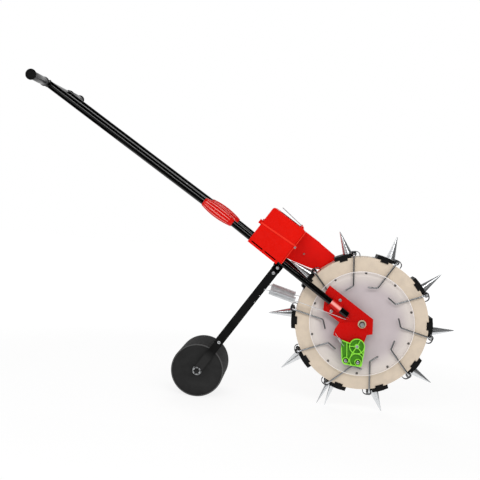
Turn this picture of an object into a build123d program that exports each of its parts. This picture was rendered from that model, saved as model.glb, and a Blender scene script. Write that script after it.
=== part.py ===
from build123d import *
import os
from math import cos, radians, sin, sqrt

# Walk-behind seed planter. Sizes in millimetres, angles in degrees.
# It is modelled about the drum's axle: +X forward, +Y to the far side, +Z up.
# At the end the whole is set down with its origin under its middle, on the soil.

# Drum
drum_r = 199.0           # outside of the rim
drum_near_y = -65.0      # near face of the rim
drum_width = 80.0
rim_wall = 4.0
far_lip_width = 27.0     # lip round the open far side
far_lip_wall = 3.0
ring_width = 43.0        # flat ring on the near face
ledge_width = 13.0       # ledge behind the face disc
face_wall = 3.0
face_flat = 16.0         # flat border of the face disc
face_dish = 14.0         # depth of the dish towards the hub
face_screw_inset = 4.5   # from the ring's inner edge
face_screw_r = 2.0
face_screw_head_r = 3.6
face_screw_head = 2.2
hub_r = 24.0
hub_tail_r = 20.0
hub_near_length = 10.0   # hub stands this far out of the near face
hub_far_length = 5.0     # and this far out of the far edge
hub_ribs = 5
hub_rib_wall = 4.0

# Axle
axle_r = 6.0
axle_end = 8.0           # thread left past the nut
bush_wall = 5.0
bush_length = 22.0
bush_flange_r = 14.0
bush_flange = 2.0
washer_r = 12.4
washer_wall = 2.0
nut_r = 9.2              # across corners, half
nut_chamfer = 0.07       # of the nut's radius, on its corners
nut_height = 9.0
spacer_r = 9.5
running_gap = 0.08       # shaft in its bush
side_gap = 0.3           # between faces that pass each other

# Beaks
beak_count = 10
beak_y = -25.0           # middle of the row of beaks
beak_height = 82.0       # tip above the rim
beak_base_length = 29.0
beak_base_width = 28.0
beak_base_shift = 8.2    # base leans back behind the tip
beak_tip_scale = 0.09
beak_bore_scale = 0.86
beak_bore_short = 9.0    # bore stops below the tip
jaw_gap = 0.35
web_gap = 4.5            # web of the moving jaw ahead of its seat
seed_hole_r = 7.0
open_beak = 7            # the beak that the trip holds open at rest
open_angle = 17.6

# Beak seats
seat_height = 12.0
seat_back = 35.0         # behind the tip
seat_front = 14.0        # ahead of the tip
seat_far_y = 5.0
seat_tab_back = 22.0
seat_tab_front = 2.0
seat_tab_drop = 6.0
seat_tab_wall = 2.6
seat_plate_wall = 1.8
seat_plate_back = 43.0
seat_plate_width = 30.0
ear_wall = 4.0
ear_r = 6.0
ear_near_y = -44.0
ear_far_y = -6.0

# Levers, bent into the hinge shaft of their jaw
lever_r = 2.5
lever_y = -72.0
pivot_height = 11.0      # hinge above the rim
pivot_lead = 24.4        # hinge ahead of the tip
lever_length = 95.5
lever_tilt = 14.0
hook_length = 29.0
hook_turn = 58.0
lever_bend_r = 7.0
shaft_far_y = -2.0

# Beak torsion springs
torsion_wire_r = 1.0
torsion_mean_r = 7.0
torsion_pitch = 2.6
torsion_turns = 1.5      # in each of the two coils
torsion_mid_y = -57.0
torsion_leg_gap = 9.0
torsion_leg_lead = 17.0

# Seed cups inside the rim
cup_length = 30.0
cup_width = 36.0
cup_height = 24.0
cup_wall = 2.0

# Side brackets
bracket_y = 79.0         # inner face, both sides
bracket_wall = 3.0
sector_wall = 3.0
plate_chamfer = 0.6      # round the outer faces
bracket_outline = [
    (-105, 106), (32, 17.3), (34, -28), (18, -31.5), (-20, -31.7), (-101, 20.5), (-118, 30.4), (-116, 86),
]
sector_outline = [
    (-67, -1), (-79, -23), (-82, -40), (-58, -50), (-30, -61), (10, -58), (14, -44), (20, -22),
    (14, 8), (-12, 6),
]

# Handle: the hopper, the lower tubes and the upper tubes lean back at nearly the same slope
body_angle = 32.7
lower_angle = 33.7
upper_angle = 32.0
tube_drop = 5.85         # axis of the lower tubes under the axle
tube_y = 94.0
lower_tube_r = 9.8
lower_tube_wall = 1.5
upper_tube_r = 11.4
slide_gap = 0.15         # upper tube over the lower tube
tube_start = 52.5        # from the axle
bend_gap = 7.0           # slight bend of the lower tube, below the lock
bend_r = 200.0
tube_overlap = 195.0     # lower tube inside the upper one
upper_tube_length = 685.0

# Saddles that hold the tubes to the brackets
saddle_start = 78.5
saddle_length = 35.5
saddle_wall = 2.0
saddle_ear = 28.0        # reach of the ears either side of the tube
saddle_bolt_offset = 20.9
saddle_bolt_place = 16.5 # behind the lower end of the saddle
bolt_r = 3.0
bolt_head_r = 5.0
bolt_head = 4.0
small_bolt_r = 1.5
small_bolt_head_r = 3.5
small_bolt_head = 2.0

# Twist locks
lock_length = 108.0
lock_start_r = 12.2
lock_middle_r = 19.3
lock_end_r = 13.4
lock_rise = 68.5         # lock behind the hopper
lock_gap = 0.3
lock_seat = 18.0         # lower end of the upper tube, inside the lock
lock_flutes = 12
flute_r = 1.5

# Crossbar and grips
crossbar_r = 9.5
crossbar_wall = 1.5
grip_inner_y = 126.0
grip_length = 121.0
grip_r = 12.2
grip_end_wall = 6.0
grip_cap_r = 15.2       # flared end
grip_cap = 5.0
grip_collar_r = 14.0
grip_collar = 5.0

# Hopper, two shells on the lower tubes
hopper_gap = 20.5        # front wall clear of the beak tips
hopper_length = 118.5
hopper_skirt = 3.4       # skirts reach this far below the tubes' axis
hopper_top = 117.0       # square to the body's slope, from the axle
seam_angle = 29.5
seam_height = 80.0       # square to the seam, from the axle
hopper_half_width = 110.0
hopper_wall = 2.5
hopper_corner_r = 8.0
hopper_edge_r = 3.0
hopper_lip = 2.5
seam_ear = 8.0           # ear on the front lip, under the seam
ear_low = 55.5
ear_high = 63.0
lip_height = 2.5
tube_clear = 0.4
outlet_near_y = 24.0
outlet_far_y = 68.0
ramp_height = 36.0       # slope in the near corner, towards the outlet
fill_start = 24.0        # fill opening, from the front wall
fill_length = 70.0
fill_half_width = 82.0
latch_length = 9.5
latch_low = 51.0
latch_high = 64.0
latch_width = 22.0
latch_y = 92.0
clip_start = 10.0        # behind the hopper's front wall
clip_wall = 2.6
clip_clear = 1.5
clip_lip = 14.0
clip_slot = 3.8
clip_bridge = 9.0

# Lid flap
lid_wall = 1.2
lid_length = 80.0
lid_half_width = 86.0
lid_hinge_lift = 4.5     # hinge above the top of the hopper
lid_hinge_start = 18.0   # hinge behind the front wall
lid_pin_r = 1.5
lid_knuckle_r = 3.2
lid_rest_angle = 6.0
knuckle_length = 14.0
ear_front = 8.0          # hinge ear ahead of the hinge

# Seed chute, on the far side of the beaks
chute_near_y = 20.0
chute_far_y = 72.0
chute_wall = 2.5
chute_top = 112.0
chute_cap = 2.0          # raised cover at the hopper's end
chute_cap_length = 60.0
chute_fall = 1.5         # of the top, towards the drum
chute_bolt_back = 41.0   # ahead of the hopper's front wall
mouth_depth = 12.0
mouth_size = 26.0

# Press roller and its arms
roller_r = 80.0
roller_half_width = 88.0
roller_wall = 4.0
roller_face_inset = 3.0
roller_hub_r = 14.0
roller_x = -480.0
press_axle_r = 5.0
press_nut_r = 9.0
press_nut = 7.0
arm_y = 78.0             # inner face of the arms at their pivot
arm_roller_gap = 3.0     # inner face of the arms off the roller
arm_bend_reach = 150.0   # the arms step out to the roller from here
arm_bend_length = 60.0
arm_wall = 4.0
arm_half_width = 12.1
arm_pivot_start = -1.3   # behind the hopper's front wall
arm_pivot_drop = 20.9    # under the tube's axis
arm_bolt_step = 20.3     # stop bolt below the pivot
spacer_clear = 23.0      # between the cross spacer and the roller
arm_spacer_r = 7.0
spring_hole_r = 1.5
spring_hole_reach = 75.2
spring_hole_step = 25.0
spring_hole_inset = 4.0  # from the arm's front edge
spring_hole_count = 3
lug_wall = 4.0
lug_back = 15.0
lug_front = 13.0
lug_low = 12.0

# Draw springs that press the roller down
draw_wire_r = 1.0
draw_mean_r = 9.0
draw_pitch = 2.667
draw_turns = 30
draw_lead = 17.0         # from the arm to the first turn
draw_y = 85.5
peg_r = 2.5
peg_x = -45.5
peg_z = 13.0
peg_length = 8.0

# Trip plate, which pushes the levers outwards
trip_wall = 3.0
trip_rib = 9.0
trip_rib_wall = 2.3
trip_gap = 0.5
trip_back = 8.0          # cam block behind the plate
trip_back_top = -74.0
trip_pivot = (-9.5, -66.2)
trip_lobe_r = 23.0
trip_outline = [
    (-31, -58), (-56, -51), (-55.5, -76), (-50, -115), (-42, -122.5), (9, -126), (13.3, -82), (13.4, -70),
]
trip_corner_r = 5.0
trip_bolt_places = [(-38.8, -110.8), (-3.0, -112.8)]
trip_arch = (-8, -107)   # round rib over the foot
trip_arch_r = 20.7
trip_ribs = [(-31, -67), (-1, -47), (9, -87), (-24, -92)]   # straight ribs from the pivot
trip_side_rib = [(-40, -58), (-36.5, -102)]
trip_bolt_r = 3.0
trip_washer_r = 7.5
trip_boss_r = 9.8
trip_spring_wire_r = 0.6
trip_spring_mean_r = 3.2
trip_spring_pitch = 1.75
trip_spring_turns = 8
trip_spring_room = 5.0   # notch in the rim, either side of the spring
trip_spring_top = (-76.0, -34.0)
trip_spring_low = (-47.5, -70.0)

# Places that follow from the sizes above
pitch_angle = 360.0 / beak_count
tip_r = drum_r + beak_height
soil_z = -tip_r * cos(radians(pitch_angle / 2))
drum_far_y = drum_near_y + drum_width
ring_inner_r = drum_r - ring_width
face_r = ring_inner_r - side_gap
bowl_edge_r = face_r - face_flat
bowl_r = ((bowl_edge_r - hub_r)**2 + face_dish**2) / (2 * face_dish)
pivot_r = drum_r + pivot_height
pivot = Vector(pivot_lead, 0, sqrt(pivot_r**2 - pivot_lead**2))
hopper_start = tip_r + hopper_gap
hopper_end = hopper_start + hopper_length
lock_start = hopper_end + lock_rise
upper_bore_r = lower_tube_r + slide_gap
bracket_face = bracket_y + bracket_wall
sector_face = bracket_face + sector_wall
hub_near_y = drum_near_y - hub_near_length
hub_far_y = drum_far_y + hub_far_length
bush_r = axle_r + bush_wall
side_plane = Plane((0, 0, 0), x_dir=(1, 0, 0), z_dir=(0, -1, 0))


def slope(angle):
    """Directions up a slope of the handle and square to it."""
    a = radians(angle)
    return Vector(-cos(a), 0, sin(a)), Vector(sin(a), 0, cos(a))


body_way, lower_way, upper_way, seam_way = [
    slope(a) for a in (body_angle, lower_angle, upper_angle, seam_angle)
]


def at(way, s, n, y=0.0):
    """Point s up a slope from the axle, n square to it."""
    up, off = way
    return up * s + off * n + Vector(0, y, 0)


def plate(outline, y0, y1):
    """Flat plate with a side-view outline (x, z) between two y planes."""
    face = make_face(Polyline(*outline, close=True))
    return extrude(side_plane.offset(-y0) * face, amount=y0 - y1)


def sloped_plate(way, sketch, y0, y1):
    """The same for a sketch drawn along and square to a slope."""
    plane = Plane((0, y0, 0), x_dir=way[0], z_dir=(0, 1, 0))
    return extrude(plane * sketch, amount=y1 - y0)


def block(way, s0, s1, n0, n1, y0, y1):
    """Box along a slope."""
    sketch = Pos((s0 + s1) / 2, (n0 + n1) / 2) * Rectangle(s1 - s0, n1 - n0)
    return sloped_plate(way, sketch, y0, y1)


def rod(x, z, r, y0, y1):
    """Round bar across the planter."""
    return Pos(x, (y0 + y1) / 2, z) * Rot(90, 0, 0) * Cylinder(r, y1 - y0)


def sleeve(x, z, r, bore, y0, y1):
    return rod(x, z, r, y0, y1) - rod(x, z, bore, y0, y1)


def round_bar(start, direction, r, length):
    plane = Plane(start, z_dir=direction)
    return plane * Cylinder(r, length, align=(Align.CENTER, Align.CENTER, Align.MIN))


def hex_nut(x, z, r, bore, y0, y1):
    """Nut with its corners turned off."""
    sketch = Pos(x, z) * (RegularPolygon(r, 6) - Circle(bore))
    turned = chamfer(rod(x, z, r, y0, y1).edges().filter_by(GeomType.CIRCLE), r * nut_chamfer)
    return extrude(side_plane.offset(-y0) * sketch, amount=y0 - y1) & turned


def bevelled(flat):
    """Plate with a chamfer round its outer face."""
    return chamfer(flat.faces().sort_by(Axis.Y)[0].outer_wire().edges(), plate_chamfer)


def bolt(x, z, r, head_r, head, y_seat, y_end):
    """Bolt with a domed round head outside y_seat and its shank to y_end."""
    outward = -1 if y_seat < y_end else 1
    shank = rod(x, z, r, min(y_seat, y_end), max(y_seat, y_end))
    top = rod(x, z, head_r, min(y_seat, y_seat + outward * head), max(y_seat, y_seat + outward * head))
    rim = top.edges().filter_by(GeomType.CIRCLE).sort_by(Axis.Y)[0 if outward < 0 else -1]
    return shank + fillet(rim, head * 0.6)


def ring_part(r0, r1, t0, t1, y0, y1):
    """Piece of a ring round the axle, cut square at t0 and t1 either side of the top."""
    ring = Circle(r1) - Circle(r0)
    window = Pos((t0 + t1) / 2, r1) * Rectangle(t1 - t0, 2 * (r1 - r0) + r1 / 4)
    return extrude(side_plane.offset(-y0) * (ring & window), amount=y0 - y1)


def revolve_about_axle(profile):
    """Turn a closed profile of (radius, y) points about the axle."""
    face = make_face(Polyline(*[(r, y, 0) for r, y in profile], close=True))
    return revolve(face, Axis.Y, 360)


def turned(shape, index):
    """Copy for beak number index, counted clockwise from the one left of the top."""
    return Rot(0, (index - 1.5) * pitch_angle, 0) * shape


def around(shape):
    """One copy for each beak."""
    return [turned(shape, k + 1) for k in range(beak_count)]


def mirrored(shape):
    return mirror(shape, Plane.XZ)


def biarc(p0, t0, p1, t1):
    """Two tangent arcs from p0 along t0 to p1 along t1."""
    chord = p1 - p0
    bend = 2 * (1 - t0.dot(t1))
    across = chord.dot(t0 + t1)
    reach = (sqrt(across**2 + bend * chord.dot(chord)) - across) / bend
    q0 = p0 + t0 * reach
    q1 = p1 - t1 * reach
    middle = (q0 + q1) * 0.5
    return [TangentArc(p0, middle, tangent=t0), TangentArc(middle, p1, tangent=(q1 - q0).normalized())]


def coil_stations(centre, axis, first, r, pitch, turns, per_turn):
    """Points and headings of a helix: centre and first side of its start, along axis."""
    side = axis.cross(first)
    rise = pitch / 6.283185307
    stations = []
    for k in range(round(turns * per_turn) + 1):
        a = radians(360.0 * k / per_turn)
        out = first * cos(a) + side * sin(a)
        along = side * cos(a) - first * sin(a)
        place = centre + axis * (pitch * k / per_turn) + out * r
        stations.append((place, (along * r + axis * rise).normalized()))
    return stations


def joined(stations):
    edges = []
    for (p0, t0), (p1, t1) in zip(stations, stations[1:]):
        edges += biarc(p0, t0, p1, t1)
    return edges


def wire_tube(edges, r, name):
    """Sweep a round wire and print its length, volume ratio and least gap to itself."""
    path = Wire(edges)
    start = Plane(path @ 0, z_dir=path % 0)
    tube = sweep(start * Circle(r), path=path)
    points = []
    for edge in edges:
        count = max(2, round(edge.length / r))
        points += [edge @ (k / count) for k in range(count)]
    travelled = [0.0]
    for a, b in zip(points, points[1:]):
        travelled.append(travelled[-1] + (b - a).length)
    least = min(
        (points[i] - points[j]).length
        for i in range(len(points))
        for j in range(i + 1, len(points))
        if 8 * r < travelled[j] - travelled[i] < 80 * r
    )
    ratio = tube.volume / (3.14159265 * r * r * path.length)
    print(f"{name}: wire {path.length:.0f} mm, volume ratio {ratio:.4f}, least gap {least - 2 * r:.2f} mm")
    return tube


def drum_rim():
    front = drum_near_y
    step = front + face_wall
    inside = drum_r - rim_wall
    ledge_r = ring_inner_r - ledge_width
    lip = drum_far_y - far_lip_wall
    profile = [
        (drum_r, front), (drum_r, drum_far_y), (drum_r - far_lip_width, drum_far_y),
        (drum_r - far_lip_width, lip), (inside, lip), (inside, front + rim_wall),
        (ring_inner_r + rim_wall, front + rim_wall), (ring_inner_r + rim_wall, step + rim_wall),
        (ledge_r, step + rim_wall), (ledge_r, step), (ring_inner_r, step), (ring_inner_r, front),
    ]
    rim = revolve_about_axle(profile)
    hole = Pos(beak_base_shift, beak_y, drum_r) * Cylinder(seed_hole_r, 4 * rim_wall)
    return rim - around(hole) - face_screw_holes()


def face_screw_places():
    reach = ring_inner_r - face_screw_inset
    for k in range(beak_count):
        a = radians(k * pitch_angle)
        yield reach * sin(a), reach * cos(a)


def face_screw_holes():
    back = drum_near_y + face_wall + rim_wall
    return [rod(x, z, face_screw_r, drum_near_y, back) for x, z in face_screw_places()]


def face_screws():
    back = drum_near_y + face_wall + rim_wall
    return [
        bolt(x, z, face_screw_r, face_screw_head_r, face_screw_head, drum_near_y, back)
        for x, z in face_screw_places()
    ]


def bowl_y(r):
    """Near side of the face disc's bowl, an arc that is level at the hub."""
    return drum_near_y + face_dish - bowl_r + sqrt(bowl_r**2 - (r - hub_r)**2)


def drum_face():
    front = drum_near_y
    back = front + face_wall
    floor = front + face_dish
    middle = (hub_r + bowl_edge_r) / 2
    outline = [
        ThreePointArc((hub_r, floor), (middle, bowl_y(middle)), (bowl_edge_r, front)),
        Polyline((bowl_edge_r, front), (face_r, front), (face_r, back), (bowl_edge_r, back)),
        ThreePointArc((bowl_edge_r, back), (middle, bowl_y(middle) + face_wall), (hub_r, floor + face_wall)),
        Polyline(
            (hub_r, floor + face_wall), (hub_tail_r, floor + face_wall), (hub_tail_r, hub_far_y),
            (bush_r, hub_far_y), (bush_r, hub_near_y), (hub_r, hub_near_y), (hub_r, floor),
        ),
    ]
    face = revolve(make_face(outline), Axis.Y, 360) - face_screw_holes()
    inside = face_wall / 2
    rib_end = bowl_edge_r - face_flat
    rib_outline = [
        (hub_tail_r - 1, floor + inside), (middle, bowl_y(middle) + inside),
        (rib_end, bowl_y(rib_end) + inside),
        (rib_end, floor + face_dish / 2), (hub_tail_r - 1, drum_far_y),
    ]
    section = make_face(Polyline(*[(r, y, 0) for r, y in rib_outline], close=True))
    rib = extrude(section, amount=hub_rib_wall / 2, both=True)
    return face + [Rot(0, k * 360.0 / hub_ribs, 0) * rib for k in range(hub_ribs)]


def hub_bushes():
    bore = axle_r + running_gap
    near = sleeve(0, 0, bush_r, bore, hub_near_y, hub_near_y + bush_length)
    near += sleeve(0, 0, bush_flange_r, bore, hub_near_y - bush_flange, hub_near_y)
    far = sleeve(0, 0, bush_r, bore, hub_far_y - bush_length, hub_far_y)
    far += sleeve(0, 0, bush_flange_r, bore, hub_far_y, hub_far_y + bush_flange)
    return [near, far]


def axle_rod():
    near = -(sector_face + washer_wall + nut_height + axle_end)
    far = bracket_face + washer_wall + nut_height + axle_end
    return chamfer(rod(0, 0, axle_r, near, far).edges(), axle_r / 6)


def axle_washers():
    near = sleeve(0, 0, washer_r, axle_r, -(sector_face + washer_wall), -sector_face)
    far = sleeve(0, 0, washer_r, axle_r, bracket_face, bracket_face + washer_wall)
    return [near, far]


def axle_nuts():
    near = -(sector_face + washer_wall)
    far = bracket_face + washer_wall
    return [
        hex_nut(0, 0, nut_r, axle_r, near - nut_height, near),
        hex_nut(0, 0, nut_r, axle_r, far, far + nut_height),
    ]


def axle_spacers():
    near = sleeve(0, 0, spacer_r, axle_r, -bracket_y, hub_near_y - bush_flange - side_gap)
    far = sleeve(0, 0, spacer_r, axle_r, hub_far_y + bush_flange + side_gap, bracket_y)
    return [near, far]


def beak_section(height, scale, centre_t):
    """Oval cross section of a closed beak, square to the radius."""
    oval = Ellipse(scale * beak_base_length / 2, scale * beak_base_width / 2)
    return Plane((centre_t, beak_y, height), x_dir=(1, 0, 0), z_dir=(0, 0, 1)) * oval


def beak_shell():
    base = drum_r + seat_height
    short = tip_r - beak_bore_short
    outer = loft([beak_section(base, 1, beak_base_shift), beak_section(tip_r, beak_tip_scale, 0)], ruled=True)
    bore_shift = beak_base_shift * beak_bore_short / (tip_r - base)
    bore_base = beak_section(base, beak_bore_scale, beak_base_shift)
    bore_tip = beak_section(short, beak_tip_scale / 4, bore_shift)
    return outer - loft([bore_base, bore_tip], ruled=True)


def jaw_plane(gap):
    """Parting plane of the jaws, through the tip, facing the moving jaw."""
    base = Vector(beak_base_shift, 0, drum_r + seat_height)
    rise = (Vector(0, 0, tip_r) - base).normalized()
    normal = Vector(rise.Z, 0, -rise.X)
    return Plane(base + normal * gap, x_dir=(0, 1, 0), z_dir=normal)


def fixed_jaw():
    return split(beak_shell(), bisect_by=jaw_plane(0), keep=Keep.BOTTOM)


def lever_path():
    inward = radians(180 + lever_tilt)
    elbow = pivot + Vector(sin(inward), 0, cos(inward)) * lever_length
    hooked = radians(180 + lever_tilt + hook_turn)
    end = elbow + Vector(sin(hooked), 0, cos(hooked)) * hook_length
    plane_shift = Vector(0, lever_y, 0)
    far_end = pivot + Vector(0, shaft_far_y, 0)
    return FilletPolyline(
        far_end, pivot + plane_shift, elbow + plane_shift, end + plane_shift, radius=lever_bend_r
    )


def moving_jaw():
    """Moving jaw welded to its wire, which is both hinge shaft and lever."""
    jaw = split(beak_shell(), bisect_by=jaw_plane(jaw_gap), keep=Keep.TOP)
    path = lever_path()
    wire = sweep(Plane(path @ 0, z_dir=path % 0) * Circle(lever_r), path=path)
    web_back = seat_front + web_gap
    web_low = pivot.Z - lever_r / 2
    web_high = drum_r + seat_height + 2 * lever_r
    web_half = beak_base_width / 4
    web = Box(
        pivot_lead - web_back, 2 * web_half, web_high - web_low,
        align=(Align.MIN, Align.CENTER, Align.MIN),
    )
    web = Pos(web_back, beak_y, web_low) * web
    return jaw + web + wire


def beak(index):
    shape = moving_jaw()
    if index == open_beak:
        hinge = Pos(pivot.X, 0, pivot.Z)
        shape = hinge * Rot(0, open_angle, 0) * hinge.inverse() * shape
    return turned(shape, index)


def seat_plate():
    top = drum_r + seat_plate_wall
    low_y = seat_far_y - seat_plate_width
    piece = ring_part(drum_r, top, -seat_plate_back, seat_front, low_y, seat_far_y + side_gap * 10)
    return piece - seed_passage()


def seed_passage():
    return Pos(beak_base_shift, beak_y, drum_r + seat_height / 2) * Cylinder(seed_hole_r, 3 * seat_height)


def beak_seat():
    top = drum_r + seat_height
    pad = ring_part(drum_r, top, -seat_back, seat_front, drum_near_y, seat_far_y)
    pad += ring_part(
        drum_r - seat_tab_drop, top, -seat_tab_back, seat_tab_front,
        drum_near_y - seat_tab_wall, drum_near_y,
    )
    pad -= ring_part(
        drum_r - 1, drum_r + seat_plate_wall, -seat_plate_back, seat_front + 1,
        seat_far_y - seat_plate_width, seat_far_y + 1,
    )
    flat_top = Pos(0, beak_y, top) * Box(4 * seat_back, 3 * beak_base_width, seat_height, align=(
        Align.CENTER, Align.CENTER, Align.MIN))
    pad -= flat_top
    foot = drum_r + seat_plate_wall + side_gap
    for y in (ear_near_y, ear_far_y):
        arm_middle = Pos((seat_front + pivot.X) / 2 - 1, y, (foot + pivot.Z) / 2)
        pad += arm_middle * Box(pivot.X - seat_front + 2, ear_wall, pivot.Z - foot)
        pad += rod(pivot.X, pivot.Z, ear_r, y - ear_wall / 2, y + ear_wall / 2)
        pad -= rod(pivot.X, pivot.Z, lever_r + running_gap, y - ear_wall, y + ear_wall)
    return pad - seed_passage()


def beak_spring():
    """Double torsion spring: two coils round the hinge shaft, joined by a bow on the rim."""
    half_gap = torsion_leg_gap / 2
    axis = Vector(0, 1, 0)
    down = Vector(0, 0, -1)
    coil_length = torsion_pitch * torsion_turns
    centre = pivot + Vector(0, torsion_mid_y - half_gap - coil_length, 0)
    stations = coil_stations(centre, axis, down, torsion_mean_r, torsion_pitch, torsion_turns, 4)
    leg_t = pivot.X + torsion_leg_lead
    clear_r = drum_r + torsion_wire_r + half_gap + side_gap
    leg_foot = Vector(leg_t, torsion_mid_y - half_gap, sqrt(clear_r**2 - leg_t**2))
    stations.append((leg_foot, Vector(leg_t, 0, leg_foot.Z).normalized() * -1))
    for place, heading in stations[::-1]:
        across = Vector(place.X, 2 * torsion_mid_y - place.Y, place.Z)
        stations.append((across, Vector(-heading.X, heading.Y, -heading.Z)))
    (first, first_way), (last, last_way) = stations[0], stations[-1]
    tail = 2 * torsion_wire_r
    edges = [Line(first - first_way * tail, first)] + joined(stations) + [Line(last, last + last_way * tail)]
    return wire_tube(edges, torsion_wire_r, "beak_spring")


def seed_cup():
    """Open scoop under the rim that lifts seed to the hole of its beak."""
    high = drum_r - rim_wall
    low = high - cup_height
    cup = ring_part(low, high, beak_base_shift - cup_length / 2, beak_base_shift + cup_length / 2,
                    beak_y - cup_width / 2, beak_y + cup_width / 2)
    hollow = Pos(beak_base_shift + cup_wall, beak_y, low + cup_wall) * Box(
        cup_length, cup_width - 2 * cup_wall, 2 * cup_height,
        align=(Align.CENTER, Align.CENTER, Align.MIN))
    return cup - hollow


def bracket():
    flange = bevelled(plate(bracket_outline, -bracket_face, -bracket_y))
    flange -= rod(0, 0, axle_r, -bracket_face, -bracket_y)
    flange -= rod(peg_x, peg_z, peg_r, -bracket_face, -bracket_y)
    return flange - [rod(p.X, p.Z, bolt_r, -bracket_face, -bracket_y) for p in saddle_bolt_places()]


def sector_plate():
    sector = plate(sector_outline, -sector_face, -bracket_face)
    corners = sector.edges().filter_by(Axis.Y).group_by(Axis.X)[0]
    sector = bevelled(fillet(corners, bolt_r))
    sector -= rod(0, 0, axle_r, -sector_face, -bracket_face)
    sector -= rod(*trip_pivot, trip_bolt_r, -sector_face, -bracket_face)
    hole = trip_spring_wire_r + side_gap
    return sector - rod(*trip_spring_top, hole, -sector_face, -bracket_face)


def saddle_bolt_places():
    s = saddle_start + saddle_bolt_place
    return [at(lower_way, s, -tube_drop + side * saddle_bolt_offset) for side in (-1, 1)]


def tube_saddle():
    """Half-round strap over the outside of a tube, with an ear either side."""
    end = saddle_start + saddle_length
    strap_r = lower_tube_r + saddle_wall
    start = at(lower_way, saddle_start, -tube_drop, -tube_y)
    inner_y = -bracket_face
    ears = block(lower_way, saddle_start, end, -tube_drop - saddle_ear, -tube_drop + saddle_ear,
                 inner_y - saddle_wall, inner_y)
    walls = block(lower_way, saddle_start, end, -tube_drop - strap_r, -tube_drop + strap_r, -tube_y, inner_y)
    strap = round_bar(start, lower_way[0], strap_r, saddle_length) + walls + ears
    strap -= round_bar(start, lower_way[0], lower_tube_r, saddle_length)
    strap -= block(lower_way, saddle_start, end, -tube_drop - lower_tube_r, -tube_drop + lower_tube_r,
                   -tube_y, inner_y)
    return strap - [rod(p.X, p.Z, bolt_r, inner_y - saddle_wall, inner_y) for p in saddle_bolt_places()]


def saddle_bolts():
    seat = -(bracket_face + saddle_wall)
    near = [bolt(p.X, p.Z, bolt_r, bolt_head_r, bolt_head, seat, -bracket_y) for p in saddle_bolt_places()]
    return near + [mirrored(one) for one in near]


def arm_pivot():
    return at(lower_way, hopper_start + arm_pivot_start, -tube_drop - arm_pivot_drop)


def bend_point(y):
    return at(lower_way, lock_start - bend_gap, -tube_drop, y)


def lower_tube():
    """Lower tube, bent a little below the lock, with the lug for the press arm welded under it."""
    bend = bend_point(-tube_y)
    top = bend + upper_way[0] * (bend_gap + lock_seat + tube_overlap)
    path = FilletPolyline(at(lower_way, tube_start, -tube_drop, -tube_y), bend, top, radius=bend_r)
    start = Plane(path @ 0, z_dir=path % 0)
    place = hopper_start + arm_pivot_start
    lug_inner = arm_y + arm_wall + side_gap
    lug = block(
        lower_way, place - lug_front, place + lug_back, -tube_drop - arm_pivot_drop - lug_low, -tube_drop,
        -lug_inner - lug_wall, -lug_inner,
    )
    pin = arm_pivot()
    lug -= rod(pin.X, pin.Z, bolt_r + running_gap, -lug_inner - lug_wall, -lug_inner)
    tube = sweep(start * Circle(lower_tube_r), path=path) + lug
    return tube - sweep(start * Circle(lower_tube_r - lower_tube_wall), path=path)


def on_upper_tube(distance, y):
    """Point on the axis of an upper tube, measured from the lower end of the lock."""
    return bend_point(y) + upper_way[0] * (bend_gap + distance)


def upper_tube():
    start = on_upper_tube(lock_seat, -tube_y)
    tube = round_bar(start, upper_way[0], upper_tube_r, upper_tube_length)
    tube -= round_bar(start, upper_way[0], upper_bore_r, upper_tube_length)
    bar = crossbar_centre()
    return tube - rod(bar.X, bar.Z, crossbar_r, -2 * tube_y, 0)


def crossbar_centre():
    return on_upper_tube(lock_seat + upper_tube_length, 0)


def crossbar():
    bar = crossbar_centre()
    half = grip_inner_y + grip_length - grip_end_wall
    return sleeve(bar.X, bar.Z, crossbar_r, crossbar_r - crossbar_wall, -half, half)


def grip():
    bar = crossbar_centre()
    outer = -(grip_inner_y + grip_length)
    rubber = rod(bar.X, bar.Z, grip_cap_r, outer, outer + grip_cap)
    rubber = fillet(rubber.edges().filter_by(GeomType.CIRCLE), grip_cap / 3)
    rubber += rod(bar.X, bar.Z, grip_r, outer + grip_cap / 2, -grip_inner_y)
    rubber += rod(bar.X, bar.Z, grip_collar_r, -grip_inner_y - grip_collar, -grip_inner_y)
    return rubber - rod(bar.X, bar.Z, crossbar_r, outer + grip_end_wall, -grip_inner_y)


def lock():
    """Fluted barrel nut over the joint of the two tubes."""
    low_bore = lower_tube_r + lock_gap
    high_bore = upper_tube_r + lock_gap
    swell = ThreePointArc((lock_start_r, 0), (lock_middle_r, lock_length / 2), (lock_end_r, lock_length))
    back = Polyline(
        (lock_end_r, lock_length), (high_bore, lock_length), (high_bore, lock_seat - side_gap),
        (low_bore, lock_seat - side_gap), (low_bore, 0), (lock_start_r, 0),
    )
    barrel = revolve(Plane.XZ * make_face([swell, back]), Axis.Z, 360)
    inset = lock_length / 12
    outside = flute_r / 2
    groove = Plane.XZ * ThreePointArc(
        (lock_start_r + inset / 3 + outside, inset), (lock_middle_r + outside, lock_length / 2),
        (lock_end_r + inset / 3 + outside, lock_length - inset),
    )
    cutter = sweep(Plane(groove @ 0, z_dir=groove % 0) * Circle(flute_r), path=groove)
    barrel -= [Rot(0, 0, k * 360.0 / lock_flutes) * cutter for k in range(lock_flutes)]
    return Plane(on_upper_tube(0, -tube_y), z_dir=upper_way[0]) * barrel


def hopper_floor():
    """Underside of the hopper, square to the lower tubes."""
    return -tube_drop + lower_tube_r + tube_clear


def body_height(s):
    """The same floor, square to the body's slope."""
    return at(lower_way, s, hopper_floor()).dot(body_way[1])


def hopper_side(inset):
    """Side outline of the hopper with its top corners rounded, shrunk by inset."""
    low = -hopper_top
    high = hopper_top - inset
    sketch = Rectangle(hopper_length - 2 * inset, high - low)
    sketch = Pos(hopper_start + hopper_length / 2, (low + high) / 2) * sketch
    return fillet(sketch.vertices().group_by(Axis.Y)[-1], hopper_corner_r - inset)


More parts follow.
